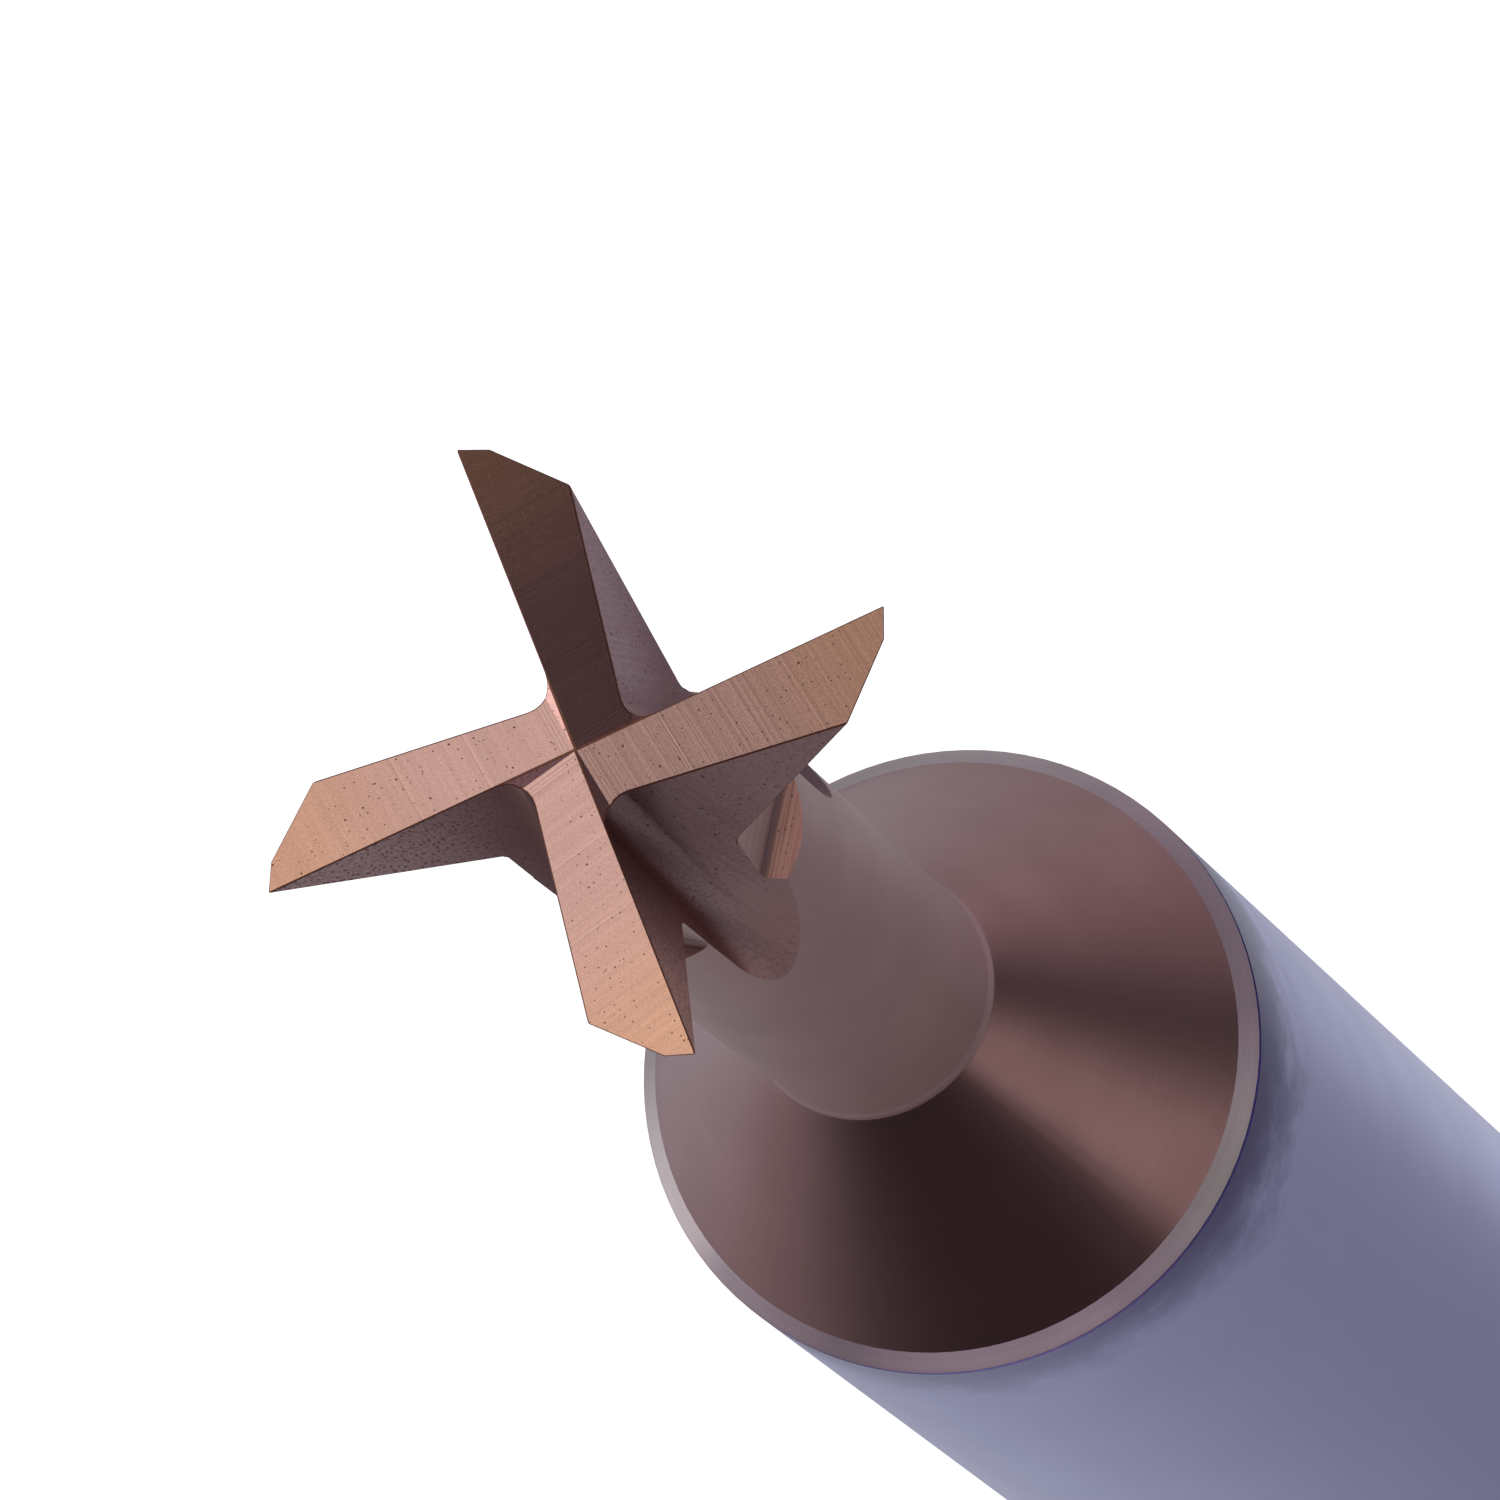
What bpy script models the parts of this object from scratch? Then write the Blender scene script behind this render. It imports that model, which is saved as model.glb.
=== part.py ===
"""Dovetail milling cutter: four straight teeth, 45 degree flanks, for right-hand cutting.

Units are metres. The origin is the centre of the shank's rear face and the tool's axis is +Z,
with the cutting end on top. A depth is measured from the cutting end down towards the shank.
The coated carbide working end has a spigot that is brazed into a socket in the steel shank.
"""
import math

import bmesh
import bpy
from mathutils import Vector

MM = 0.001

# Whole tool
OVERALL_LENGTH = 50.0 * MM
SHANK_DIAMETER = 6.0 * MM
SHANK_END_CHAMFER = 0.5 * MM

# Cutting head, measured in the plane of a cutting edge
HEAD_DIAMETER = 6.0 * MM
FLANK_ANGLE = math.radians(45.0)
NOTCH_FLOOR_DIAMETER = 2.48 * MM
NOTCH_CORNER_RADIUS = 0.15 * MM
NOTCH_END_DEPTH = 2.62 * MM
NOTCH_RAMP_ANGLE = math.radians(45.0)
NOTCH_RAMP_FILLET = 0.2 * MM

# Clearance behind the cutting edges
PRIMARY_RELIEF_ANGLE = math.radians(16.0)
SECONDARY_RELIEF_ANGLE = math.radians(44.0)
FLANK_LAND = 0.27 * MM
NOTCH_RELIEF_ANGLE = math.radians(33.3)
END_CLEARANCE_ANGLE = math.radians(8.0)
GASH_SPREAD_ANGLE = math.radians(9.0)

# Flutes
TOOTH_ROOT_THICKNESS = 0.48 * MM
TOOTH_WIDENING_ANGLE = math.radians(7.7)
FLUTE_RISE_ANGLE = math.radians(6.84)
FLUTE_FILLET = 0.25 * MM
RUNOUT_START_DEPTH = 2.8 * MM
RUNOUT_RADIUS = 7.9 * MM

# Neck and shoulder
NECK_FRONT_DIAMETER = 2.49 * MM
NECK_REAR_DIAMETER = 2.35 * MM
NECK_REAR_DEPTH = 9.34 * MM
SHOULDER_FILLET = 0.3 * MM
SHOULDER_HALF_ANGLE = math.radians(31.5)
RIM_CHAMFER = 0.16 * MM

# Brazed joint
SPIGOT_DIAMETER = 3.6 * MM
SPIGOT_LENGTH = 5.0 * MM
SPIGOT_CHAMFER = 0.3 * MM
BRAZE_THICKNESS = 0.05 * MM
BRAZE_SETBACK = 0.03 * MM
JOINT_CLEARANCE = 0.005 * MM

# Facets and grinding allowance
TURNED_FACETS = 96
ARC_STEPS = 6
GRIND_ALLOWANCE = 0.15 * MM
CREASE_ANGLE = math.radians(20.0)

# Finishes, with linear RGB colours
COATING_COLOUR = (0.36, 0.22, 0.18)
COATING_ROUGHNESS = 0.3
BRAZE_COLOUR = (0.60, 0.52, 0.40)
BRAZE_ROUGHNESS = 0.35
STEEL_COLOUR = (0.42, 0.43, 0.52)
STEEL_ROUGHNESS = 0.25

TEETH = 4

HEAD_RADIUS = HEAD_DIAMETER / 2
SHANK_RADIUS = SHANK_DIAMETER / 2
NOTCH_FLOOR_RADIUS = NOTCH_FLOOR_DIAMETER / 2
FLANK_FOOT_DEPTH = (HEAD_RADIUS - NOTCH_FLOOR_RADIUS) * math.tan(FLANK_ANGLE)
NECK_FRONT_RADIUS = NECK_FRONT_DIAMETER / 2
NECK_REAR_RADIUS = NECK_REAR_DIAMETER / 2
SPIGOT_RADIUS = SPIGOT_DIAMETER / 2
REACH = max(HEAD_RADIUS, SHANK_RADIUS) + 2 * GRIND_ALLOWANCE
RIM_RADIUS = SHANK_RADIUS - RIM_CHAMFER
RIM_DEPTH = NECK_REAR_DEPTH + (RIM_RADIUS - NECK_REAR_RADIUS) / math.tan(SHOULDER_HALF_ANGLE)
JOINT_DEPTH = RIM_DEPTH + RIM_CHAMFER


def clear_scene():
    for item in list(bpy.data.objects):
        bpy.data.objects.remove(item, do_unlink=True)


def metal(name, colour, roughness):
    """Metallic material with a linear RGB colour."""
    material = bpy.data.materials.new(name)
    material.use_nodes = True
    shader = material.node_tree.nodes["Principled BSDF"]
    shader.inputs["Base Color"].default_value = (*colour, 1.0)
    shader.inputs["Metallic"].default_value = 1.0
    shader.inputs["Roughness"].default_value = roughness
    return material


def add_object(name, shape):
    """Scene object from a finished bmesh, with its faces turned outwards."""
    bmesh.ops.recalc_face_normals(shape, faces=shape.faces)
    mesh = bpy.data.meshes.new(name)
    shape.to_mesh(mesh)
    shape.free()
    item = bpy.data.objects.new(name, mesh)
    bpy.context.scene.collection.objects.link(item)
    return item


def loft(name, sections):
    """Closed solid through rings of points that all have the same number of corners."""
    shape = bmesh.new()
    rings = [[shape.verts.new(point) for point in section] for section in sections]
    for near, far in zip(rings, rings[1:]):
        for index, corner in enumerate(near):
            after = (index + 1) % len(near)
            shape.faces.new((corner, near[after], far[after], far[index]))
    shape.faces.new(rings[0])
    shape.faces.new(rings[-1])
    return add_object(name, shape)


def turned(name, profile):
    """Solid of revolution about Z through (radius, depth) points, closed by flat ends."""
    step = math.tau / TURNED_FACETS
    angles = [(index + 0.5) * step for index in range(TURNED_FACETS)]
    sections = []
    for radius, depth in profile:
        height = OVERALL_LENGTH - depth
        sections.append([(radius * math.cos(a), radius * math.sin(a), height) for a in angles])
    return loft(name, sections)


def tooth_point(radial, trailing, depth, turn):
    """Point beside the cutting edge of one tooth, in the tool's frame.

    The first tooth points along +X. Seen from the cutting end the tool turns anticlockwise, so
    what trails that tooth's edge lies towards -Y.
    """
    x, y = radial, -trailing
    for _ in range(turn):
        x, y = -y, x
    return Vector((x, y, OVERALL_LENGTH - depth))


def neck_radius(depth):
    """Radius of the slightly tapered neck."""
    share = (depth - NOTCH_END_DEPTH) / (NECK_REAR_DEPTH - NOTCH_END_DEPTH)
    return NECK_FRONT_RADIUS + share * (NECK_REAR_RADIUS - NECK_FRONT_RADIUS)


def fillet(radius, depth, bend, angle):
    """Arc of (radius, depth) points from a surface along the axis into a slope away from it."""
    start_depth = depth - bend * math.tan(angle / 2)
    points = []
    for step in range(ARC_STEPS + 1):
        turned_by = angle * step / ARC_STEPS
        points.append((radius + bend * (1 - math.cos(turned_by)),
                       start_depth + bend * math.sin(turned_by)))
    return points


def ground_blank():
    """Working end before its teeth are ground, with the spigot below the joint face."""
    head_back = FLANK_FOOT_DEPTH + GRIND_ALLOWANCE
    profile = [
        (HEAD_RADIUS + GRIND_ALLOWANCE, -GRIND_ALLOWANCE),
        (HEAD_RADIUS + GRIND_ALLOWANCE, head_back),
        (neck_radius(head_back), head_back),
        *fillet(NECK_REAR_RADIUS, NECK_REAR_DEPTH, SHOULDER_FILLET, SHOULDER_HALF_ANGLE),
        (RIM_RADIUS, RIM_DEPTH),
        (SHANK_RADIUS, JOINT_DEPTH),
        (SPIGOT_RADIUS, JOINT_DEPTH),
        (SPIGOT_RADIUS, JOINT_DEPTH + SPIGOT_LENGTH - SPIGOT_CHAMFER),
        (SPIGOT_RADIUS - SPIGOT_CHAMFER, JOINT_DEPTH + SPIGOT_LENGTH),
    ]
    return turned("cutter_body", profile)


def flute_section(root_offset, depth, turn):
    """Open V between the back of one tooth and the rake face of the next, with a round root."""
    slope = TOOTH_WIDENING_ANGLE
    centre = root_offset + FLUTE_FILLET * (math.tan(slope) + 1 / math.cos(slope))
    corners = [(0.0, REACH)]
    for step in range(ARC_STEPS + 1):
        angle = math.pi + (math.pi / 2 + slope) * step / ARC_STEPS
        across = FLUTE_FILLET * (1 + math.cos(angle)) if step else 0.0
        corners.append((across, centre + FLUTE_FILLET * math.sin(angle)))
    corners.append((REACH, root_offset + REACH * math.tan(slope)))
    corners.append((REACH, REACH))
    return [tooth_point(radial, trailing, depth, turn) for radial, trailing in corners]


def flute_cutter(turn):
    """Straight flute that rises towards the shank and runs out of the neck on an arc."""
    rise = math.tan(FLUTE_RISE_ANGLE)
    stations = [(TOOTH_ROOT_THICKNESS - rise * GRIND_ALLOWANCE * 2, -GRIND_ALLOWANCE * 2)]
    runout_offset = TOOTH_ROOT_THICKNESS + rise * RUNOUT_START_DEPTH
    clear_offset = NECK_FRONT_RADIUS + GRIND_ALLOWANCE
    lift = max(clear_offset - runout_offset, GRIND_ALLOWANCE)
    sweep = math.acos(max(1 - lift / RUNOUT_RADIUS, 0.0))
    for step in range(2 * ARC_STEPS + 1):
        angle = sweep * step / (2 * ARC_STEPS)
        travel = RUNOUT_RADIUS * math.sin(angle)
        offset = runout_offset + rise * travel + RUNOUT_RADIUS * (1 - math.cos(angle))
        stations.append((offset, RUNOUT_START_DEPTH + travel))
    sections = [flute_section(offset, depth, turn) for offset, depth in stations]
    return loft(f"flute_cutter_{turn}", sections)


def flank_fall(trailing):
    """How far the relieved flank has dropped at one distance behind the edge."""
    primary = math.tan(PRIMARY_RELIEF_ANGLE) * min(trailing, FLANK_LAND)
    secondary = math.tan(SECONDARY_RELIEF_ANGLE) * max(trailing - FLANK_LAND, 0.0)
    return primary + secondary


def relief_section(trailing, turn):
    """Space outside the dovetail flank and its notch, at one distance behind the edge."""
    top_depth = -2 * GRIND_ALLOWANCE
    edge_radius = HEAD_RADIUS - flank_fall(trailing)
    floor_radius = NOTCH_FLOOR_RADIUS - math.tan(NOTCH_RELIEF_ANGLE) * trailing
    corner_radius = floor_radius + NOTCH_CORNER_RADIUS
    corner_depth = ((edge_radius - corner_radius) * math.tan(FLANK_ANGLE)
                    + NOTCH_CORNER_RADIUS / math.cos(FLANK_ANGLE))
    ramp_depth = NOTCH_END_DEPTH + (REACH - floor_radius) / math.tan(NOTCH_RAMP_ANGLE)
    corners = [(edge_radius - top_depth / math.tan(FLANK_ANGLE), top_depth)]
    for step in range(ARC_STEPS + 1):
        angle = FLANK_ANGLE + (math.pi / 2 - FLANK_ANGLE) * step / ARC_STEPS
        corners.append((corner_radius - NOTCH_CORNER_RADIUS * math.sin(angle),
                        corner_depth - NOTCH_CORNER_RADIUS * math.cos(angle)))
    corners += fillet(floor_radius, NOTCH_END_DEPTH, NOTCH_RAMP_FILLET, NOTCH_RAMP_ANGLE)
    corners.append((REACH, ramp_depth))
    corners.append((2 * REACH, ramp_depth))
    corners.append((2 * REACH, top_depth))
    return [tooth_point(radial, trailing, depth, turn) for radial, depth in corners]


def relief_cutter(turn):
    """Clearance behind one cutting edge: a primary flank land, a steeper flank, and the notch."""
    heel = TOOTH_ROOT_THICKNESS + HEAD_RADIUS * math.tan(TOOTH_WIDENING_ANGLE) + 2 * GRIND_ALLOWANCE
    stations = [-GRIND_ALLOWANCE / 2, FLANK_LAND, heel]
    return loft(f"relief_cutter_{turn}", [relief_section(trailing, turn) for trailing in stations])


def end_cutter():
    """Grinds the end face: each tooth falls away behind its edge, and a gash climbs to the next."""
    shape = bmesh.new()
    far = REACH
    fall = far * math.tan(END_CLEARANCE_ANGLE)
    gash_width = far * math.tan(GASH_SPREAD_ANGLE)
    top = -2 * GRIND_ALLOWANCE
    centre = shape.verts.new(tooth_point(0.0, 0.0, 0.0, 0))
    edges, heels, gashes, tops = [], [], [], []
    for turn in range(TEETH):
        edges.append(shape.verts.new(tooth_point(far, 0.0, 0.0, turn)))
        heels.append(shape.verts.new(tooth_point(far, far, fall, turn)))
        gashes.append(shape.verts.new(tooth_point(gash_width, far, fall, turn)))
        tops.append(shape.verts.new(tooth_point(far, far, top, turn)))
    for turn in range(TEETH):
        ahead = (turn + 1) % TEETH
        behind = (turn - 1) % TEETH
        shape.faces.new((centre, edges[turn], heels[turn], gashes[turn]))
        shape.faces.new((centre, gashes[turn], edges[behind]))
        shape.faces.new((heels[turn], edges[turn], gashes[ahead], heels[ahead], tops[ahead], tops[turn]))
    shape.faces.new(tops)
    return add_object("end_cutter", shape)


def grind(blank, cutters):
    """Cuts every grinding shape out of the blank and leaves one plain mesh."""
    for cutter in cutters:
        cutter.hide_render = True
        cutter.display_type = "WIRE"
        cut = blank.modifiers.new(cutter.name, "BOOLEAN")
        cut.operation = "DIFFERENCE"
        cut.object = cutter
    graph = bpy.context.evaluated_depsgraph_get()
    ground_mesh = bpy.data.meshes.new_from_object(blank.evaluated_get(graph))
    blank.modifiers.clear()
    blank.data = ground_mesh
    for cutter in cutters:
        bpy.data.objects.remove(cutter, do_unlink=True)


def braze_layer():
    """Thin cup of filler metal between the spigot and its socket, with a rim under the joint face."""
    inner = SPIGOT_RADIUS + JOINT_CLEARANCE
    outer = inner + BRAZE_THICKNESS
    rim = SHANK_RADIUS - BRAZE_SETBACK
    face = JOINT_DEPTH + JOINT_CLEARANCE
    floor = JOINT_DEPTH + SPIGOT_LENGTH + JOINT_CLEARANCE
    profile = [
        (inner, floor),
        (inner, face),
        (rim, face),
        (rim, face + BRAZE_THICKNESS),
        (outer, face + BRAZE_THICKNESS),
        (outer, floor + BRAZE_THICKNESS),
    ]
    return turned("braze_layer", profile)


def shank():
    """Ground steel shank with a blind socket in front and a chamfered rear end."""
    gap = BRAZE_THICKNESS + 2 * JOINT_CLEARANCE
    socket_radius = SPIGOT_RADIUS + gap
    front = JOINT_DEPTH + gap
    profile = [
        (socket_radius, front + SPIGOT_LENGTH),
        (socket_radius, front),
        (SHANK_RADIUS, front),
        (SHANK_RADIUS, OVERALL_LENGTH - SHANK_END_CHAMFER),
        (SHANK_RADIUS - SHANK_END_CHAMFER, OVERALL_LENGTH),
    ]
    return turned("shank", profile)


def finish(item, material):
    """Material and smooth shading that keeps the ground edges crisp."""
    item.data.materials.clear()
    item.data.materials.append(material)
    item.data.shade_smooth()
    item.data.set_sharp_from_angle(angle=CREASE_ANGLE)


def main():
    clear_scene()
    coating = metal("bronze_coating", COATING_COLOUR, COATING_ROUGHNESS)
    filler = metal("silver_braze", BRAZE_COLOUR, BRAZE_ROUGHNESS)
    steel = metal("ground_steel", STEEL_COLOUR, STEEL_ROUGHNESS)
    cutter_body = ground_blank()
    cutters = [flute_cutter(turn) for turn in range(TEETH)]
    cutters += [relief_cutter(turn) for turn in range(TEETH)]
    cutters.append(end_cutter())
    grind(cutter_body, cutters)
    finish(cutter_body, coating)
    finish(braze_layer(), filler)
    finish(shank(), steel)


main()
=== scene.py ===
"""Looks of the dovetail milling cutter: coated working end, bare shank, pale floor and studio light.

The frame is the part's own, in metres: the origin is the centre of the shank's rear face, +Z points to
the cutting end and the first cutting edge lies along +X. Texture lengths are in millimetres.
"""
import math

import bmesh
import bpy
from mathutils import Matrix, Vector


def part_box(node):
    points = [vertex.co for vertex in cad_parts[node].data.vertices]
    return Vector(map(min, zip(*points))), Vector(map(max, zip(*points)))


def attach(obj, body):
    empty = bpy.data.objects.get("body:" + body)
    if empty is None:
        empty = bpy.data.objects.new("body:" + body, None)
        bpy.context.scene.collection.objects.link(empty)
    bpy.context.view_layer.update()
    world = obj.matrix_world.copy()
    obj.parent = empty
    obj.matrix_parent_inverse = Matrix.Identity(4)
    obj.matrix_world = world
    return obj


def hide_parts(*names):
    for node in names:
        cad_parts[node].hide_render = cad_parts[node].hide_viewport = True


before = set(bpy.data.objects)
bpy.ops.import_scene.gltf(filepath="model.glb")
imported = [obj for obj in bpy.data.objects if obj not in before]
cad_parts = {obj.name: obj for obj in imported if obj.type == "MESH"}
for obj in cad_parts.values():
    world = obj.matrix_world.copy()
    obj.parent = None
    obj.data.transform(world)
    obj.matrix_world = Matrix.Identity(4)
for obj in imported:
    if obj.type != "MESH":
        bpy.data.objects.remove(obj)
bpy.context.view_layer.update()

MM = 0.001
TEETH = 4

# Places read from the frame. The shank is as wide as the head, whose first tooth ends on the X axis.
HEAD_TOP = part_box("cutter_body")[1].z
SHANK_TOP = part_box("shank")[1].z
SHANK_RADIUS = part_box("cutter_body")[1].x

# Regions of the working end, as depths below the cutting end
GASH_END_DEPTH = 0.6 * MM
HONE_DEPTH = 1.75 * MM
SHOULDER_DEPTH = 9.2 * MM

# How far a surface faces up or outwards, as a share of its normal, where regions change
END_RISE = 0.95
RIM_RISE = 0.62
CONE_RISE = 0.44
GASH_RISE = 0.3
RAMP_RISE = 0.3
RELIEF_DROP = -0.3
RELIEF_OUTWARD = 0.4
UPRIGHT = 0.9
NECK_OUTWARD = 0.995

# Other marks of a region: radii of the neck, distance behind a cutting edge, reach into free space
NECK_RADII = (1.16 * MM, 1.26 * MM)
BEHIND_EDGE = 0.002 * MM
PROBE = 0.1 * MM

# Places on the grinding maps, in millimetres across the lines
FLUTE_ROOT = 0.35
# Inner corner of each notch, where a painted shade line runs
NOTCH_CORNER = 3.65

# Edges and facets
WELD_DISTANCE = 0.0002 * MM
FLAT_ANGLE = math.radians(0.4)
SHARP_ANGLE = math.radians(20.0)
HONE_WIDTH = 0.013 * MM
SHANK_FACETS = 192
SHANK_END_CHAMFER = 0.5 * MM
SHANK_EDGE_ROUND = 0.03 * MM
GRIND_SLANT = 0.15

# Fine steps in the ground end faces, in millimetres from the axis; each is drawn as a painted highlight line
# with a painted shadow line just beside it
END_STEPS = (0.03, 0.065, 0.1, 0.8, 1.47)
STEP_WIDTH = 0.014
STEP_SHADOW = 0.02

# Camera, measured on the photograph
CAMERA_PLACE = Vector((23.57197, -46.29703, 178.83049)) * MM
CAMERA_RIGHT = Vector((0.894163, -0.351013, -0.277960))
CAMERA_UP = Vector((0.418203, 0.876497, 0.238451))
CAMERA_LENS = 384.0
SENSOR_WIDTH = 36.0

# Middle of the heat tint behind the rim
TINT_AZIMUTH = math.radians(-10.0)

# Directions that the metal reflects
FRONT_AZIMUTH = math.radians(-75.0)
NEAR_AZIMUTH = math.radians(-28.0)
EDGE_AZIMUTH = math.radians(75.0)
LEFT_AZIMUTH = math.radians(150.0)
RIGHT_AZIMUTH = math.radians(25.0)
BACK_AZIMUTH = math.radians(125.0)
STRIP_AZIMUTH = math.radians(-45.0)
SIDE_AZIMUTH = math.radians(161.0)

# Floor, cards and lights, in metres. The key light's place and size are shares of its height.
FLOOR_SIZE = 0.5
FLOOR_CARD_SIZE = 0.6
FLOOR_CARD_HEIGHT = 0.3 * MM
STUDIO_RADIUS = 0.2
STRIP_HEIGHT = 0.05
STRIP_SIZE = (0.36, 0.14)
KEY_HEIGHT = 0.2
KEY_OFFSET = Vector((-0.50, 0.52, 1.0))
KEY_SIZE = (0.9, 1.3)
KEY_SPIN = math.radians(-15.5)
SIDE_HEIGHT = 0.07
SIDE_SIZE = 0.1


class Nodes:
    """Node tree with short ways to add its nodes."""

    def __init__(self, tree):
        self.tree = tree

    def node(self, kind, inputs=None, **settings):
        """New node, with its settings, and with sockets or plain values on its inputs."""
        made = self.tree.nodes.new(kind)
        for key, value in settings.items():
            setattr(made, key, value)
        for key, value in (inputs or {}).items():
            if isinstance(value, bpy.types.NodeSocket):
                self.tree.links.new(value, made.inputs[key])
            else:
                made.inputs[key].default_value = value
        return made

    def ramp(self, value, low, high, start=0.0, end=1.0, smooth=True):
        """Value between low and high spread over start to end."""
        made = self.node("ShaderNodeMapRange", {
            "Value": value, "From Min": low, "From Max": high, "To Min": start, "To Max": end})
        made.interpolation_type = "SMOOTHSTEP" if smooth else "LINEAR"
        return made.outputs["Result"]

    def maths(self, operation, first, second):
        """Result of one operation on two values."""
        return self.node("ShaderNodeMath", {0: first, 1: second}, operation=operation).outputs["Value"]

    def axis(self, vector, name):
        """One coordinate of a vector."""
        return self.node("ShaderNodeSeparateXYZ", {"Vector": vector}).outputs[name]


class Finish(Nodes):
    """Node tree of one finish."""

    def __init__(self, name, roughness, anisotropy=0.0, metallic=1.0):
        self.material = bpy.data.materials.new(name)
        self.material.use_nodes = True
        super().__init__(self.material.node_tree)
        self.shader = self.tree.nodes["Principled BSDF"]
        self.shader.inputs["Metallic"].default_value = metallic
        self.shader.inputs["Roughness"].default_value = roughness
        self.shader.inputs["Anisotropic"].default_value = anisotropy

    def feed(self, name, socket):
        """Links a socket to an input of the surface."""
        self.tree.links.new(socket, self.shader.inputs[name])

    def grind_coordinates(self):
        """Millimetres across and along the grinding lines of a flat surface."""
        return self.node("ShaderNodeUVMap", uv_map="grind").outputs["UV"]

    def place(self):
        """Millimetres in the part's frame."""
        here = self.node("ShaderNodeTexCoord").outputs["Object"]
        return self.scaled(here, (1 / MM, 1 / MM, 1 / MM))

    def along(self, azimuth):
        """Millimetres in one level direction."""
        heading = (math.cos(azimuth), math.sin(azimuth), 0.0)
        made = self.node("ShaderNodeVectorMath", {0: self.place(), 1: heading}, operation="DOT_PRODUCT")
        return made.outputs["Value"]

    def scaled(self, vector, scale):
        """Vector stretched along its axes."""
        return self.node("ShaderNodeMapping", {"Vector": vector, "Scale": scale}).outputs["Vector"]

    def noise(self, vector, scale, detail=3.0, roughness=0.6):
        """Cloudy pattern, as coarse along each axis as the scale says."""
        made = self.node("ShaderNodeTexNoise", {
            "Vector": self.scaled(vector, scale), "Scale": 1.0, "Detail": detail, "Roughness": roughness})
        return made.outputs["Fac"]

    def mix(self, factor, first, second):
        """Blend of two colours."""
        made = self.node("ShaderNodeMix", {"Factor": factor}, data_type="RGBA")
        for index, value in ((6, first), (7, second)):
            if isinstance(value, bpy.types.NodeSocket):
                self.tree.links.new(value, made.inputs[index])
            else:
                made.inputs[index].default_value = (*value, 1.0)
        return made.outputs[2]

    def pits(self, vector, spacing, share, size):
        """Round specks: one in each chosen cell of a loose pattern, of uneven size."""
        cells = self.node("ShaderNodeTexVoronoi", {
            "Vector": self.scaled(vector, (1 / spacing,) * 3), "Scale": 1.0},
            feature="F1", voronoi_dimensions="2D")
        lot = self.node("ShaderNodeSeparateColor", {"Color": cells.outputs["Color"]}).outputs["Red"]
        radius = self.ramp(lot, 1.0 - share, 1.0, 0.4 * size / spacing, size / spacing, smooth=False)
        inner = self.maths("MULTIPLY", radius, 0.5)
        speck = self.node("ShaderNodeMapRange", {
            "Value": cells.outputs["Distance"], "From Min": inner, "From Max": radius,
            "To Min": 1.0, "To Max": 0.0}, interpolation_type="SMOOTHSTEP")
        chosen = self.maths("GREATER_THAN", lot, 1.0 - share)
        return self.maths("MULTIPLY", speck.outputs["Result"], chosen)

    def grain(self, vector, fineness, share):
        """Uneven fine grain as a share of a darker colour."""
        return self.ramp(self.noise(vector, (fineness, fineness, 1.0), 2.0, 0.7), 0.36, 0.62, share, 0.0)

    def line(self, across, place, width):
        """One soft line at a place across the grinding."""
        off = self.maths("ABSOLUTE", self.maths("SUBTRACT", across, place), 0.0)
        return self.ramp(off, 0.0, width, 1.0, 0.0)

    def steps(self, across, shift):
        """Soft lines at the steps of an end face, or a little beside them."""
        total = self.line(across, END_STEPS[0] + shift, STEP_WIDTH)
        for place in END_STEPS[1:]:
            total = self.maths("ADD", total, self.line(across, place + shift, STEP_WIDTH))
        return total

    def bump(self, height, depth):
        """Relief of the given depth in millimetres."""
        made = self.node("ShaderNodeBump", {"Height": height, "Distance": depth * MM, "Strength": 1.0})
        self.feed("Normal", made.outputs["Normal"])

    def brushed(self, across_uv=True):
        """Grinding lines: flat ones follow the map, turned ones run round the axis."""
        if across_uv:
            tangent = self.node("ShaderNodeTangent", direction_type="UV_MAP", uv_map="grind")
        else:
            tangent = self.node("ShaderNodeTangent", direction_type="RADIAL", axis="Z")
            self.shader.inputs["Anisotropic Rotation"].default_value = 0.25
        self.feed("Tangent", tangent.outputs["Tangent"])


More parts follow.
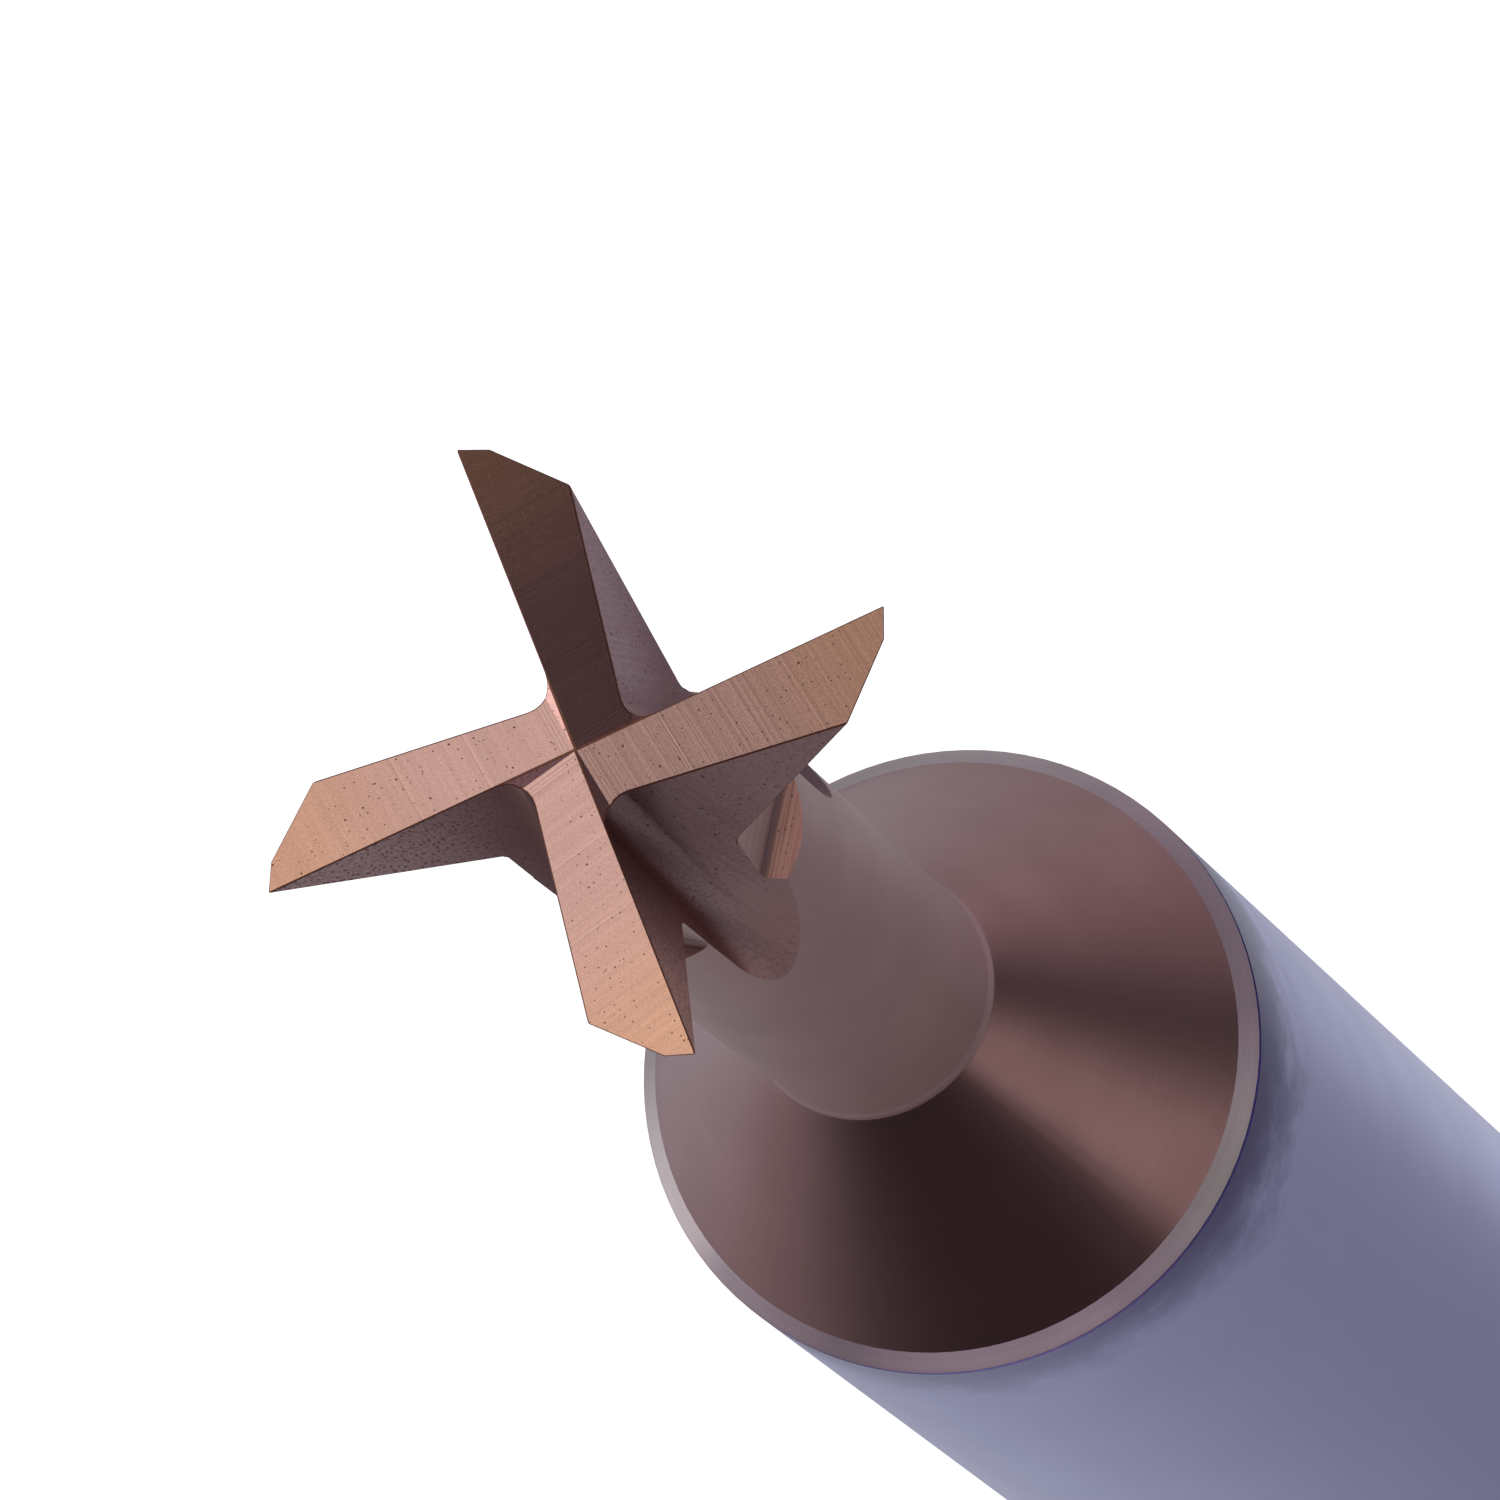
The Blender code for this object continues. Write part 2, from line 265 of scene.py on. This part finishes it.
def end_face_finish():
    """Bronze end faces: transverse grinding lines, a few steps drawn as painted highlight and painted shadow
    lines, golden towards the tips, dark specks.
    """
    finish = Finish("coated_end_face", roughness=0.24, anisotropy=0.5)
    across_along = finish.grind_coordinates()
    across = finish.axis(across_along, "X")
    fine = finish.noise(across_along, (18.0, 0.1, 1.0), 4.0, 0.7)
    broad = finish.noise(across_along, (6.0, 0.12, 1.0), 2.0)
    cloud = finish.noise(across_along, (1.6, 1.6, 1.0), 3.0)
    rosy = finish.mix(cloud, (0.635, 0.385, 0.33), (0.56, 0.336, 0.28))
    golden = finish.mix(cloud, (0.77, 0.435, 0.295), (0.68, 0.37, 0.23))
    colour = finish.mix(finish.ramp(across, 1.0, 2.9), rosy, golden)
    lines = finish.maths("ADD", finish.ramp(fine, 0.36, 0.64, 0.0, 0.6),
                         finish.ramp(broad, 0.3, 0.7, 0.0, 0.4))
    colour = finish.mix(finish.ramp(lines, 0.0, 1.0, 0.14, 0.0), colour, (0.16, 0.08, 0.07))
    colour = finish.mix(finish.grain(across_along, 42.0, 0.18), colour, (0.2, 0.095, 0.08))
    steps = finish.steps(across, 0.0)
    shadows = finish.steps(across, STEP_SHADOW)
    # Painted highlight along each step, then a painted shadow line just beside it
    colour = finish.mix(finish.maths("MULTIPLY", steps, 0.14), colour, (0.92, 0.62, 0.5))
    colour = finish.mix(finish.maths("MULTIPLY", shadows, 0.16), colour, (0.16, 0.08, 0.07))
    specks = finish.maths("MAXIMUM", finish.pits(across_along, 0.075, 0.25, 0.009),
                          finish.pits(across_along, 0.19, 0.35, 0.013))
    colour = finish.mix(finish.maths("MULTIPLY", specks, 0.85), colour, (0.08, 0.04, 0.035))
    finish.feed("Base Color", colour)
    finish.feed("Roughness", finish.ramp(across, 0.8, 2.9, 0.22, 0.29))
    height = finish.maths("ADD", lines, finish.maths("MULTIPLY", steps, 0.25))
    finish.bump(finish.maths("SUBTRACT", height, finish.maths("MULTIPLY", specks, 2.0)), 0.00045)
    finish.brushed()
    return finish.material


def flute_finish(name, wall_tints, face_tints, run_out, dark, wall_shade_reach, corner_shade_share):
    """Flutes: greyer on the rake faces, painted shade at the root, along the bank and in the inner corner,
    long lines, fine grain and dense small specks.
    """
    finish = Finish(name, roughness=0.32, anisotropy=0.2)
    finish.shader.inputs["Specular Tint"].default_value = (0.96, 0.68, 0.62, 1.0)
    across_along = finish.grind_coordinates()
    drawn_out = finish.scaled(across_along, (1.0, 0.4, 1.0))
    across = finish.axis(across_along, "X")
    depth = finish.axis(across_along, "Y")
    rake = finish.ramp(across, FLUTE_ROOT, FLUTE_ROOT + 0.7)
    from_root = finish.maths("ABSOLUTE", finish.maths("SUBTRACT", across, FLUTE_ROOT), 0.0)

    # Tints of the walls, rake faces and run-outs
    cloud = finish.noise(across_along, (2.0, 1.2, 1.0), 3.0)
    wall = finish.mix(cloud, *wall_tints)
    face = finish.mix(cloud, *face_tints)
    colour = finish.mix(rake, wall, face)
    colour = finish.mix(finish.ramp(depth, 2.4, 4.2, 0.0, 0.9), colour, run_out)

    # Shade at the root, along the bank below it and in the inner corner
    reach = finish.ramp(rake, 0.0, 0.5, wall_shade_reach, 2.1)
    near_root = finish.ramp(finish.maths("DIVIDE", from_root, reach), 0.0, 1.0, 1.0, 0.0)
    shade = finish.maths("MULTIPLY", near_root, finish.ramp(rake, 0.0, 0.4, 0.4, 1.0))
    bank = finish.ramp(across, FLUTE_ROOT + 0.3, FLUTE_ROOT + 0.6)
    floor_fade = finish.ramp(depth, 1.0, 2.9, 1.0, 0.0)
    bank_fade = finish.maths("SUBTRACT", finish.ramp(depth, 2.6, 4.3, 1.0, 0.0), floor_fade)
    fade = finish.maths("ADD", floor_fade, finish.maths("MULTIPLY", bank_fade, bank))
    colour = finish.mix(finish.maths("MULTIPLY", shade, fade), colour, dark)
    corner = finish.maths("MULTIPLY", finish.ramp(across, FLUTE_ROOT + 0.55, FLUTE_ROOT + 1.3, 1.0, 0.0),
                          finish.ramp(depth, 0.2, 1.6, 0.0, corner_shade_share))
    colour = finish.mix(corner, colour, dark)

    # Lines, grain and specks
    fine = finish.noise(across_along, (22.0, 0.3, 1.0), 4.0, 0.65)
    streaks = finish.maths("MULTIPLY", finish.ramp(fine, 0.4, 0.7),
                           finish.ramp(from_root, 0.2, 1.2, 0.28, 0.06))
    streaks = finish.maths("MULTIPLY", streaks, finish.ramp(depth, 2.0, 3.2, 1.0, 0.5))
    colour = finish.mix(streaks, colour, (0.12, 0.07, 0.08))
    grain = finish.maths("MULTIPLY", finish.grain(drawn_out, 34.0, 1.0),
                         finish.ramp(rake, 0.0, 1.0, 0.22, 0.5))
    grain = finish.maths("MULTIPLY", grain, finish.ramp(depth, 2.0, 3.2, 1.0, 0.35))
    colour = finish.mix(grain, colour, (0.09, 0.05, 0.06))
    dense = finish.maths("MULTIPLY", finish.pits(drawn_out, 0.05, 0.8, 0.018), rake)
    loose = finish.maths("MAXIMUM", finish.pits(drawn_out, 0.05, 0.33, 0.01),
                         finish.pits(drawn_out, 0.14, 0.4, 0.016))
    specks = finish.maths("MULTIPLY", finish.maths("MAXIMUM", dense, loose),
                          finish.ramp(depth, 2.0, 3.2, 0.8, 0.3))
    colour = finish.mix(specks, colour, (0.04, 0.022, 0.03))
    finish.feed("Base Color", colour)
    finish.feed("Roughness", finish.ramp(depth, 2.2, 4.0, 0.3, 0.42))
    finish.bump(finish.maths("SUBTRACT", streaks, specks), 0.001)
    finish.brushed()
    return finish.material


def relief_finish(name, light, dark, stripe):
    """Flanks and notches: striations along the sweep of the grinding wheel, and a painted shade line in the
    notch's inner corner.
    """
    finish = Finish(name, roughness=0.28, anisotropy=0.4)
    across_along = finish.grind_coordinates()
    fine = finish.noise(across_along, (20.0, 0.4, 1.0), 4.0, 0.65)
    cloud = finish.noise(across_along, (3.0, 1.5, 1.0), 3.0)
    colour = finish.mix(cloud, light, dark)
    colour = finish.mix(finish.ramp(fine, 0.45, 0.7, 0.0, stripe), colour, (0.12, 0.06, 0.055))
    # Painted shade along the notch's inner corner
    corner = finish.line(finish.axis(across_along, "X"), NOTCH_CORNER, 0.17)
    colour = finish.mix(finish.maths("MULTIPLY", corner, 0.75), colour, (0.12, 0.07, 0.085))
    specks = finish.pits(across_along, 0.07, 0.4, 0.011)
    colour = finish.mix(finish.maths("MULTIPLY", specks, 0.8), colour, (0.06, 0.03, 0.035))
    finish.feed("Base Color", colour)
    finish.bump(finish.maths("SUBTRACT", fine, specks), 0.0008)
    finish.brushed()
    return finish.material


def edge_finish():
    """Honed edges: a thin darker line with a warm tint."""
    finish = Finish("coated_edge", roughness=0.5)
    cloud = finish.noise(finish.place(), (6.0, 6.0, 6.0), 3.0)
    finish.feed("Base Color", finish.mix(cloud, (0.30, 0.13, 0.085), (0.21, 0.09, 0.06)))
    return finish.material


def turned_finish(name, roughness, anisotropy, light, dark, line, strength, depth):
    """Mottled surface with fine lines round the axis. Also returns its colour and place in the part."""
    finish = Finish(name, roughness, anisotropy)
    place = finish.place()
    lines = finish.noise(place, (0.05, 0.05, 26.0), 4.0, 0.65)
    cloud = finish.noise(place, (1.1, 1.1, 1.1), 2.0, 0.4)
    colour = finish.mix(finish.ramp(cloud, 0.3, 0.7), light, dark)
    colour = finish.mix(finish.ramp(lines, 0.35, 0.7, 0.0, strength), colour, line)
    finish.feed("Base Color", colour)
    finish.feed("Roughness", finish.ramp(cloud, 0.2, 0.8, roughness - 0.01, roughness + 0.01))
    finish.bump(lines, depth)
    finish.brushed(across_uv=False)
    return finish, colour, place


def neck_finish():
    """Satin neck."""
    return turned_finish("coated_neck", 0.37, 0.3, (0.48, 0.305, 0.31), (0.45, 0.287, 0.293),
                         (0.25, 0.15, 0.16), 0.04, 0.0001)[0].material


def cone_finish():
    """Turned shoulder: lines round the axis draw the reflections out into wedges."""
    return turned_finish("coated_cone", 0.21, 0.35, (0.46, 0.255, 0.25), (0.42, 0.23, 0.225),
                         (0.2, 0.1, 0.1), 0.08, 0.0001)[0].material


def rim_finish():
    """Paler chamfer round the shoulder."""
    return turned_finish("coated_rim", 0.3, 0.3, (0.54, 0.48, 0.46), (0.48, 0.425, 0.41),
                         (0.25, 0.2, 0.23), 0.2, 0.0003)[0].material


def shank_finish():
    """Bare ground shank: blue-silver, with a blotchy heat tint behind the rim."""
    finish, steel, place = turned_finish("bare_ground_steel", 0.29, 0.3, (0.46, 0.47, 0.82),
                                         (0.455, 0.465, 0.81), (0.3, 0.31, 0.55), 0.015, 0.00002)
    below = finish.maths("SUBTRACT", SHANK_TOP / MM, finish.axis(place, "Z"))
    blotch = finish.noise(place, (1.3, 1.3, 1.3), 4.0, 0.7)
    side = finish.ramp(finish.along(TINT_AZIMUTH), 0.0, 3.0)
    fade = finish.maths("MULTIPLY", finish.ramp(blotch, 0.3, 0.7, 1.0, 1.9),
                        finish.ramp(side, 0.5, 1.0, 0.8, 1.3))
    tint = finish.node("ShaderNodeMapRange", {
        "Value": below, "From Min": 0.1, "From Max": fade, "To Min": 1.0, "To Max": 0.0},
        interpolation_type="SMOOTHSTEP").outputs["Result"]
    tint = finish.maths("MULTIPLY", tint, finish.ramp(side, 0.0, 1.0, 0.56, 1.0, smooth=False))
    finish.feed("Base Color", finish.mix(tint, steel, (0.06, 0.05, 0.2)))
    return finish.material


def braze_finish():
    """Dull pale filler."""
    finish = Finish("filler_metal", roughness=0.4)
    cloud = finish.noise(finish.place(), (5.0, 5.0, 5.0), 4.0)
    finish.feed("Base Color", finish.mix(cloud, (0.50, 0.42, 0.36), (0.36, 0.30, 0.28)))
    finish.bump(cloud, 0.003)
    return finish.material


def in_tooth(vector, turn):
    """The same vector as (radial, trailing, up) beside one tooth."""
    x, y = vector.x, vector.y
    for _ in range(turn):
        x, y = y, -x
    return Vector((x, -y, vector.z))


def nearest_tooth(point):
    """Number of the tooth whose axis passes nearest to a point."""
    return round(math.atan2(point.y, point.x) / (math.tau / TEETH)) % TEETH


def region_of(face):
    """Finish of one face of the working end, with its tooth number, or the side of its flute."""
    centre = face.calc_center_median()
    normal = face.normal
    depth = HEAD_TOP - centre.z
    radius = centre.xy.length
    if depth > SHOULDER_DEPTH:
        if normal.z > RIM_RISE:
            return "rim", 0
        return ("cone" if normal.z > CONE_RISE else "neck"), 0
    if normal.z > END_RISE:
        return "end", nearest_tooth(Vector((-normal.y, normal.x)))
    turn = nearest_tooth(centre)
    if normal.z > GASH_RISE and depth < GASH_END_DEPTH:
        return "gash", turn
    upright = normal.xy.length > UPRIGHT
    outward = normal.xy.normalized().dot(centre.xy.normalized()) > NECK_OUTWARD
    if upright and outward and NECK_RADII[0] < radius < NECK_RADII[1]:
        return "neck", 0
    local = in_tooth(centre, turn)
    facing = in_tooth(normal, turn)
    if local.y > BEHIND_EDGE and facing.z > RAMP_RISE:
        return "ramp", turn
    if local.y > BEHIND_EDGE and (facing.x > RELIEF_OUTWARD or facing.z < RELIEF_DROP):
        return "relief", turn
    inside = centre + PROBE * normal
    # Flutes on the other diagonal take bluer tints and deeper painted shade at the root and in the inner
    # corner
    return ("flute", 1) if inside.x * inside.y < 0 else ("bluer_shaded_flute", -1)


def grind_place(region, turn, point):
    """Millimetres across and along the grinding lines at a point of a region."""
    local = in_tooth(point, turn)
    depth = HEAD_TOP - point.z
    if region == "end":
        across, along = local.x - GRIND_SLANT * local.y, local.y
    elif region == "gash":
        across, along = depth - local.x, point.xy.length
    elif region.endswith("flute"):
        across, along = (abs(point.y) - abs(point.x)) * turn, depth
    else:
        across, along = math.sqrt(2) * depth, local.y
    if not region.endswith("flute"):
        along += 10 * MM * turn
    return across / MM, along / MM


def seam_edges(shape):
    """Keeps the shading of differently finished surfaces apart."""
    for edge in shape.edges:
        one, other = edge.link_faces
        bent = edge.calc_face_angle() > SHARP_ANGLE
        edge.smooth = not bent and one.material_index == other.material_index


def working_end(finishes):
    """Fine mesh of the coated working end: flat facets merged, edges honed, grinding lines mapped."""
    order = list(finishes)
    shape = bmesh.new()
    shape.from_mesh(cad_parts["cutter_body"].data)
    bmesh.ops.remove_doubles(shape, verts=shape.verts, dist=WELD_DISTANCE)
    bmesh.ops.dissolve_limit(shape, angle_limit=FLAT_ANGLE, verts=shape.verts, edges=shape.edges)
    sharp = [edge for edge in shape.edges
             if edge.calc_face_angle_signed() > SHARP_ANGLE
             and HEAD_TOP - min(corner.co.z for corner in edge.verts) < HONE_DEPTH]
    honed = bmesh.ops.bevel(shape, geom=sharp, offset=HONE_WIDTH, offset_type="OFFSET", segments=2,
                            profile=0.5, affect="EDGES", clamp_overlap=False)
    edge_faces = set(honed["faces"])
    grind = shape.loops.layers.uv.new("grind")
    for face in shape.faces:
        region, turn = region_of(face)
        for corner in face.loops:
            corner[grind].uv = grind_place(region, turn, corner.vert.co)
        name = "end" if region == "gash" else region
        if face in edge_faces:
            name = "edge"
        face.material_index = order.index(name)
    seam_edges(shape)
    return add_piece("coated_working_end", shape, finishes.values(), "cutter_body")


def turned_shape(profile, facets):
    """Closed solid of revolution about Z through (radius, height) points, from bottom to top."""
    shape = bmesh.new()
    rings = []
    for radius, height in profile:
        angles = [math.tau * index / facets for index in range(facets)]
        rings.append([shape.verts.new((radius * math.cos(a), radius * math.sin(a), height)) for a in angles])
    for lower, upper in zip(rings, rings[1:]):
        for index in range(facets):
            after = (index + 1) % facets
            shape.faces.new((lower[index], lower[after], upper[after], upper[index]))
    shape.faces.new(list(reversed(rings[0])))
    shape.faces.new(rings[-1])
    bmesh.ops.recalc_face_normals(shape, faces=shape.faces)
    return shape


def bare_shank(material):
    """Round shank with softened edges."""
    soft = SHANK_EDGE_ROUND
    profile = [
        (SHANK_RADIUS - SHANK_END_CHAMFER - soft, 0.0),
        (SHANK_RADIUS - SHANK_END_CHAMFER + soft / 2, soft / 2),
        (SHANK_RADIUS - soft / 2, SHANK_END_CHAMFER - soft / 2),
        (SHANK_RADIUS, SHANK_END_CHAMFER + soft),
        (SHANK_RADIUS, SHANK_TOP - soft / 2),
        (SHANK_RADIUS - soft / 2, SHANK_TOP),
    ]
    shape = turned_shape(profile, SHANK_FACETS)
    seam_edges(shape)
    return add_piece("bare_shank", shape, [material], "shank")


def add_piece(name, shape, materials, node):
    """Scene object for a finished bmesh that stands for one node."""
    for face in shape.faces:
        face.smooth = True
    mesh = bpy.data.meshes.new(name)
    shape.to_mesh(mesh)
    shape.free()
    for material in materials:
        mesh.materials.append(material)
    piece = bpy.data.objects.new(name, mesh)
    bpy.context.scene.collection.objects.link(piece)
    even = piece.modifiers.new("even_normals", "WEIGHTED_NORMAL")
    even.keep_sharp = True
    even.weight = 100
    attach(piece, "root")
    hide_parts(node)
    return piece


def plane(name, size_x, size_y, matrix):
    """Flat rectangle of the studio."""
    shape = bmesh.new()
    bmesh.ops.create_grid(shape, x_segments=1, y_segments=1, size=0.5)
    bmesh.ops.scale(shape, vec=(size_x, size_y, 1.0), verts=shape.verts)
    mesh = bpy.data.meshes.new(name)
    shape.to_mesh(mesh)
    shape.free()
    made = bpy.data.objects.new(name, mesh)
    made.matrix_world = matrix
    bpy.context.scene.collection.objects.link(made)
    return made


def floor():
    """Pale floor that is lit through, as a light table."""
    made = plane("floor", FLOOR_SIZE, FLOOR_SIZE, Matrix.Identity(4))
    finish = Finish("pale_floor", roughness=0.8, metallic=0.0)
    finish.shader.inputs["Base Color"].default_value = (0.8, 0.8, 0.8, 1.0)
    finish.shader.inputs["Emission Color"].default_value = (1.0, 1.0, 1.0, 1.0)
    finish.shader.inputs["Emission Strength"].default_value = 0.95
    made.data.materials.append(finish.material)


def card(name, size_x, size_y, matrix):
    """Glowing card that only reflections see, with its finish."""
    made = plane(name, size_x, size_y, matrix)
    made.visible_camera = False
    made.visible_diffuse = False
    made.visible_shadow = False
    finish = Finish(name, roughness=1.0, metallic=0.0)
    finish.shader.inputs["Base Color"].default_value = (0.0, 0.0, 0.0, 1.0)
    finish.shader.inputs["Specular IOR Level"].default_value = 0.0
    finish.shader.inputs["Emission Color"].default_value = (1.0, 1.0, 1.0, 1.0)
    made.data.materials.append(finish.material)
    return finish


def floor_card():
    """What reflections see of the floor: pale behind the tool, a painted shadow of the tool in front with a
    painted darker ring round it, and dark far away.
    """
    finish = card("floor_card", FLOOR_CARD_SIZE, FLOOR_CARD_SIZE,
                  Matrix.Translation((0.0, 0.0, FLOOR_CARD_HEIGHT)))
    away = finish.node("ShaderNodeVectorMath", {0: finish.place()}, operation="LENGTH").outputs["Value"]

    def towards(azimuth, low, high, smooth=True):
        """How far a place on the floor lies in one direction from the tool, whatever its distance."""
        return finish.ramp(finish.maths("DIVIDE", finish.along(azimuth), away), low, high, smooth=smooth)

    shaded = (0.27, 0.26, 0.265)
    behind = (0.60, 0.61, 0.60)
    beside = (0.72, 0.74, 0.75)
    ring = (0.32, 0.315, 0.325)
    plain = (0.41, 0.42, 0.45)
    left = (0.46, 0.49, 0.54)
    right = (0.47, 0.455, 0.49)
    # Painted shadow of the tool in front, and a painted darker ring round the tool
    near = finish.mix(towards(NEAR_AZIMUTH, -1.0, 1.0, smooth=False), behind, shaded)
    near = finish.mix(towards(EDGE_AZIMUTH, 0.5, 1.0), near, beside)
    near = finish.mix(finish.ramp(away, 14.5, 17.5, 0.0, 0.75), near, ring)
    far = finish.mix(towards(FRONT_AZIMUTH, 0.2, 0.8), plain, shaded)
    far = finish.mix(towards(LEFT_AZIMUTH, 0.85, 1.0), far, left)
    far = finish.mix(towards(RIGHT_AZIMUTH, 0.85, 1.0), far, right)
    finish.feed("Emission Color", finish.mix(finish.ramp(away, 26.0, 46.0), near, far))
    left_fade = finish.ramp(away, 60.0, 140.0, 1.0, 0.06)
    right_fade = finish.ramp(away, 107.0, 140.0, 1.0, 0.1)
    wider = finish.maths("MULTIPLY", finish.maths("SUBTRACT", right_fade, left_fade),
                         towards(RIGHT_AZIMUTH, -0.3, 0.5))
    pale = finish.maths("MULTIPLY", towards(BACK_AZIMUTH, 0.1, 0.7),
                        finish.ramp(away, 105.0, 150.0, 0.0, 1.4))
    finish.feed("Emission Strength", finish.maths("ADD", finish.maths("ADD", left_fade, wider), pale))


def strip_card():
    """Soft upright light in front on the right, seen only in reflections."""
    stand = Matrix.Translation(around(STRIP_AZIMUTH, STUDIO_RADIUS, STRIP_HEIGHT))
    facing = around(STRIP_AZIMUTH, 1.0, 0.0).to_track_quat("Z", "Y").to_matrix().to_4x4()
    finish = card("strip_card", *STRIP_SIZE, stand @ facing)
    place = finish.place()
    aside = finish.axis(place, "X")
    raised = finish.maths("ABSOLUTE", finish.axis(place, "Y"), 0.0)
    soft = finish.maths("ADD", finish.ramp(aside, -82.0, -25.0, 0.0, 0.88),
                        finish.ramp(aside, -170.0, -60.0, 0.0, 0.12))
    soft = finish.maths("MULTIPLY", soft, finish.ramp(aside, 35.0, 165.0, 1.0, 0.0, smooth=False))
    soft = finish.maths("MULTIPLY", soft, finish.ramp(raised, 47.0, 70.0, 1.0, 0.0))
    finish.shader.inputs["Emission Strength"].default_value = 0.61
    finish.feed("Alpha", soft)


def softbox(name, centre, target, size_x, size_y, radiance, spin=0.0):
    """Rectangular light of even brightness, turned to face a point."""
    lamp = bpy.data.lights.new(name, "AREA")
    lamp.shape = "RECTANGLE"
    lamp.size = size_x
    lamp.size_y = size_y
    lamp.energy = radiance * math.pi * size_x * size_y
    made = bpy.data.objects.new(name, lamp)
    facing = (Vector(centre) - Vector(target)).to_track_quat("Z", "Y").to_matrix().to_4x4()
    made.matrix_world = Matrix.Translation(centre) @ facing @ Matrix.Rotation(spin, 4, "Z")
    made.visible_camera = False
    bpy.context.scene.collection.objects.link(made)


def around(azimuth, distance, height):
    """Point at a distance from the tool's axis."""
    return Vector((math.cos(azimuth) * distance, math.sin(azimuth) * distance, height))


def lights():
    """Wide key light above the head and a small one on its left."""
    key = Vector((0.0, 0.0, HEAD_TOP)) + KEY_HEIGHT * KEY_OFFSET
    straight_below = key - Vector((0.0, 0.0, 1.0))
    softbox("key", key, straight_below, KEY_SIZE[0] * KEY_HEIGHT, KEY_SIZE[1] * KEY_HEIGHT, 1.08, KEY_SPIN)
    side = around(SIDE_AZIMUTH, STUDIO_RADIUS, SIDE_HEIGHT)
    softbox("side", side, Vector((0.0, 0.0, SIDE_HEIGHT)), SIDE_SIZE, SIDE_SIZE, 1.5)


def studio_sky():
    """Dim room with a paler band above the horizon for reflections, and white for the camera."""
    world = bpy.data.worlds.new("studio")
    bpy.context.scene.world = world
    world.use_nodes = True
    world.node_tree.nodes.clear()
    sky = Nodes(world.node_tree)
    towards = sky.node("ShaderNodeTexCoord").outputs["Generated"]
    rise = sky.axis(towards, "Z")
    heading = (math.cos(FRONT_AZIMUTH), math.sin(FRONT_AZIMUTH), 0.0)
    front = sky.node("ShaderNodeVectorMath", {0: towards, 1: heading}, operation="DOT_PRODUCT")
    band = sky.maths("MULTIPLY", sky.ramp(rise, 0.07, 0.19, 0.0, 0.76), sky.ramp(rise, 0.25, 0.5, 1.0, 0.0))
    band = sky.maths("MULTIPLY", band, sky.ramp(front.outputs["Value"], -0.1, 0.5))
    level = sky.ramp(sky.maths("ABSOLUTE", rise, 0.0), 0.0, 0.25, 0.7, 0.0)
    glow = sky.maths("MULTIPLY", level, sky.ramp(front.outputs["Value"], 0.0, 0.3, 1.0, 0.0))
    dim = sky.maths("ADD", sky.ramp(rise, 0.0, 0.9, 0.03, 0.065), sky.maths("ADD", band, glow))
    room = sky.node("ShaderNodeBackground", {"Color": (1.0, 0.81, 1.04, 1.0), "Strength": dim})
    white = sky.node("ShaderNodeBackground", {"Color": (1.0, 1.0, 1.0, 1.0), "Strength": 1.0})
    seen = sky.node("ShaderNodeLightPath").outputs["Is Camera Ray"]
    chosen = sky.node("ShaderNodeMixShader", {
        0: seen, 1: room.outputs["Background"], 2: white.outputs["Background"]})
    sky.node("ShaderNodeOutputWorld", {"Surface": chosen.outputs["Shader"]})


def camera():
    """Long lens that looks down on the cutting end."""
    lens = bpy.data.cameras.new("camera")
    lens.sensor_width = SENSOR_WIDTH
    lens.lens = CAMERA_LENS
    lens.clip_start = 1 * MM
    lens.clip_end = 10.0
    made = bpy.data.objects.new("camera", lens)
    back = CAMERA_RIGHT.cross(CAMERA_UP)
    axes = Matrix((CAMERA_RIGHT, CAMERA_UP, back)).transposed().to_4x4()
    made.matrix_world = Matrix.Translation(CAMERA_PLACE) @ axes
    bpy.context.scene.collection.objects.link(made)
    bpy.context.scene.camera = made


def dress():
    """Finished pieces of the tool."""
    coat = {
        "end": end_face_finish(),
        # The dark tint of each flute finish is the colour of its painted shade; the bluer flutes take deeper
        # painted shade and a painted shade in the inner corner
        "flute": flute_finish(
            "coated_flute", wall_tints=((0.42, 0.305, 0.33), (0.35, 0.25, 0.272)),
            face_tints=((0.535, 0.40, 0.41), (0.45, 0.33, 0.34)), run_out=(0.58, 0.36, 0.36),
            dark=(0.08, 0.055, 0.075), wall_shade_reach=1.1, corner_shade_share=0.0),
        "bluer_shaded_flute": flute_finish(
            "coated_flute_bluer_shaded", wall_tints=((0.445, 0.39, 0.47), (0.37, 0.325, 0.39)),
            face_tints=((0.52, 0.44, 0.50), (0.435, 0.365, 0.415)), run_out=(0.40, 0.30, 0.33),
            dark=(0.04, 0.028, 0.055), wall_shade_reach=0.4, corner_shade_share=0.6),
        "relief": relief_finish("coated_relief", (0.57, 0.375, 0.37), (0.49, 0.315, 0.315), 0.3),
        "ramp": relief_finish("coated_ramp", (0.60, 0.33, 0.255), (0.50, 0.262, 0.205), 0.7),
        "edge": edge_finish(),
        "neck": neck_finish(),
        "cone": cone_finish(),
        "rim": rim_finish(),
    }
    working_end(coat)
    bare_shank(shank_finish())
    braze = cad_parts["braze_layer"]
    braze.data.materials.clear()
    braze.data.materials.append(braze_finish())


dress()
floor()
floor_card()
strip_card()
lights()
studio_sky()
camera()
bpy.context.scene.view_settings.view_transform = "Standard"
